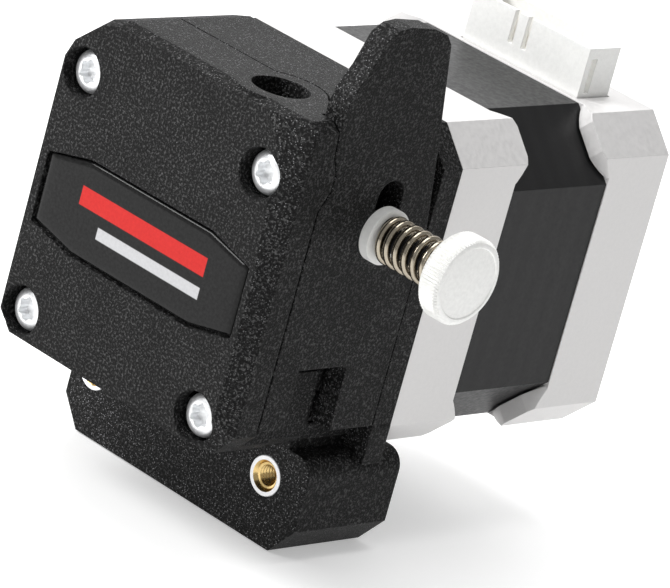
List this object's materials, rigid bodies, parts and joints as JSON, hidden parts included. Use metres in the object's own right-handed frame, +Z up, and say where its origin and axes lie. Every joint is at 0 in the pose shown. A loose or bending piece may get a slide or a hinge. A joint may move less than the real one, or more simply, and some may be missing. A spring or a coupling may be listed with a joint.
{
  "type": "geared_filament_extruder",
  "caption": "Compact geared filament extruder with a spring-loaded idler lever, thumb-screw tension and threaded foot, on a square stepper motor.",
  "frame": {"origin": "midway between the two threaded foot inserts, on the foot's front face", "axes": "X towards the lever side, Y from the front cover to the motor, Z up along the filament path towards the inlet"},
  "size_m": [0.0573, 0.0676, 0.0691],
  "materials": {
    "nylon": "sintered black nylon, fine grain",
    "label_black": "glossy domed resin",
    "zinc_steel": "bright zinc",
    "gear_steel": "hardened steel",
    "black_steel": "black oxide",
    "brass": "turned and knurled",
    "white_plastic": "white moulded plastic",
    "spring_steel": "polished wire, warm tone",
    "knurled_metal": "bright knurled",
    "bell_alloy": "matte cast",
    "laminations": "black coated laminations",
    "copper": "enamelled wire",
    "acetal": "natural acetal"
  },
  "bodies": {
    "root": {"front_cover": "nylon", "rear_housing": "nylon", "front_label": "label_black", "cover_screws": "zinc_steel", "foot_inserts": "brass", "tension_spring": "spring_steel", "tension_nut": "brass", "front_bearing": "zinc_steel", "rear_bearing": "zinc_steel", "outlet_tube": "white_plastic", "motor_front_bell": "bell_alloy", "motor_stack": "laminations", "motor_windings": "copper", "motor_rear_bell": "bell_alloy", "motor_bearings": "zinc_steel", "motor_wave_washer": "zinc_steel", "motor_tie_screws": "zinc_steel", "connector_base": "black_steel", "connector_shell": "white_plastic", "connector_pins": "brass"},
    "motor_spin_body": {"motor_rotor": "gear_steel", "motor_shaft": "gear_steel"},
    "drive_body": {"drive_shaft": "gear_steel", "drive_gear": "gear_steel", "drive_set_screw": "black_steel", "large_gear": "acetal"},
    "lever_body": {"idler_lever": "nylon", "spring_cup": "white_plastic", "idler_pin": "gear_steel"},
    "idler_body": {"idler_gear": "gear_steel", "idler_needle_bearing": "zinc_steel"},
    "washer_body": {"thumb_washer": "zinc_steel"},
    "thumb_body": {"thumb_screw": "knurled_metal"}
  },
  "joints": [
    {"name": "motor_spin", "type": "hinge", "parent": "root", "child": "motor_spin_body", "pos_m": [0.0011, 0.0122, 0.0254], "axis": [0, 1, 0], "continuous": true},
    {"name": "drive_spin", "type": "hinge", "parent": "root", "child": "drive_body", "pos_m": [0.00665, 0.0122, 0.01649], "axis": [0, 1, 0], "continuous": true},
    {"name": "lever_swing", "type": "hinge", "parent": "root", "child": "lever_body", "pos_m": [0.0166, -0.0014, 0.0099], "axis": [0, 1, 0], "range_deg": [0, 7], "stiffness_Nm_per_rad": 0.85, "springref_deg": -8.59, "deforming": ["tension_spring"]},
    {"name": "idler_spin", "type": "hinge", "parent": "lever_body", "child": "idler_body", "pos_m": [0.01515, -0.0105, 0.01649], "axis": [0, 1, 0], "continuous": true},
    {"name": "thumb_slide", "type": "slide", "parent": "root", "child": "washer_body", "axis": [1, 0, 0], "range_m": [-0.0015, 0.002]},
    {"name": "thumb_turn", "type": "hinge", "parent": "washer_body", "child": "thumb_body", "pos_m": [0.0339, 0.0004, 0.0347], "axis": [1, 0, 0], "range_deg": [-1080, 1440]}
  ],
  "couplings": [
    {"joint": "drive_spin", "follows": "motor_spin", "ratio": -0.3125},
    {"joint": "idler_spin", "follows": "motor_spin", "ratio": 0.3125},
    {"joint": "thumb_turn", "follows": "thumb_slide", "rad_per_m": 12566}
  ]
}
